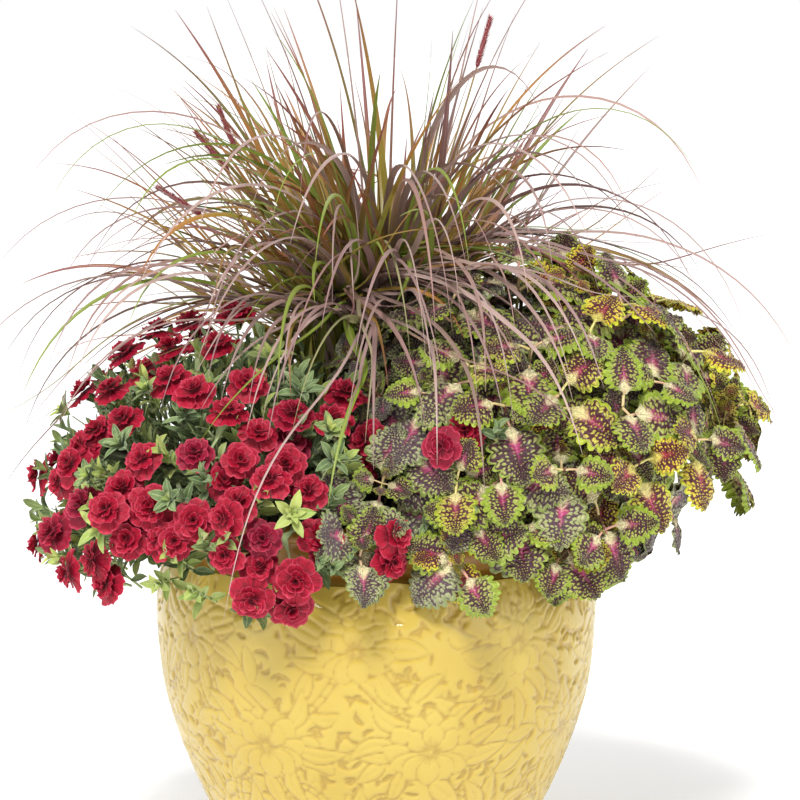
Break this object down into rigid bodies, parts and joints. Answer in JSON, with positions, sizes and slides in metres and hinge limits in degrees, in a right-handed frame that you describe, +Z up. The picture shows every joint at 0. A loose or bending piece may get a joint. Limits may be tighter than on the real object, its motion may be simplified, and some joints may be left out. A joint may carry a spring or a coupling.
{
  "type": "mixed planter with coleus",
  "caption": "Glazed carved pot of potting soil planted with coleus, double calibrachoa and purple fountain grass, standing on its flat base.",
  "frame": {"origin": "centre of the pot's base, on the surface that it stands on", "axes": "+Z up, -Y towards the front of the planting, +X to its right, where the coleus is"},
  "size_m": [0.7375, 0.8149, 0.8662],
  "materials": {
    "glaze": "gloss",
    "soil": "matte",
    "coleus_leaf": "satin",
    "calibrachoa_green": "matte",
    "bloom_red": "matte",
    "grass_blade": "satin",
    "grass_plume": "matte"
  },
  "bodies": {
    "root": {"calibrachoa_blooms_01": "bloom_red", "calibrachoa_blooms_02": "bloom_red", "calibrachoa_blooms_03": "bloom_red", "calibrachoa_blooms_04": "bloom_red", "calibrachoa_blooms_05": "bloom_red", "calibrachoa_blooms_06": "bloom_red", "calibrachoa_blooms_07": "bloom_red", "calibrachoa_blooms_08": "bloom_red", "calibrachoa_blooms_09": "bloom_red", "calibrachoa_blooms_10": "bloom_red", "calibrachoa_blooms_11": "bloom_red", "calibrachoa_blooms_12": "bloom_red", "calibrachoa_blooms_13": "bloom_red", "calibrachoa_blooms_14": "bloom_red", "calibrachoa_blooms_15": "bloom_red", "calibrachoa_blooms_16": "bloom_red", "calibrachoa_blooms_17": "bloom_red", "calibrachoa_blooms_18": "bloom_red", "calibrachoa_blooms_19": "bloom_red", "calibrachoa_blooms_20": "bloom_red", "calibrachoa_blooms_21": "bloom_red", "calibrachoa_spray_1": "calibrachoa_green", "calibrachoa_spray_2": "calibrachoa_green", "calibrachoa_spray_3": "calibrachoa_green", "calibrachoa_spray_4": "calibrachoa_green", "calibrachoa_spray_5": "calibrachoa_green", "calibrachoa_spray_6": "calibrachoa_green", "calibrachoa_spray_7": "calibrachoa_green", "calibrachoa_spray_8": "calibrachoa_green", "calibrachoa_spray_9": "calibrachoa_green", "coleus_stem_01": "coleus_leaf", "coleus_stem_02": "coleus_leaf", "coleus_stem_03": "coleus_leaf", "coleus_stem_04": "coleus_leaf", "coleus_stem_05": "coleus_leaf", "coleus_stem_06": "coleus_leaf", "coleus_stem_07": "coleus_leaf", "coleus_stem_08": "coleus_leaf", "coleus_stem_09": "coleus_leaf", "coleus_stem_10": "coleus_leaf", "coleus_stem_11": "coleus_leaf", "coleus_stem_12": "coleus_leaf", "coleus_stem_13": "coleus_leaf", "coleus_stem_14": "coleus_leaf", "coleus_stem_15": "coleus_leaf", "coleus_stem_16": "coleus_leaf", "coleus_stem_17": "coleus_leaf", "grass_clump": "grass_blade", "grass_plume_1": "grass_plume", "grass_plume_2": "grass_plume", "grass_plume_3": "grass_plume", "grass_plume_4": "grass_plume", "pot": "glaze", "soil": "soil"}
  },
  "joints": []
}
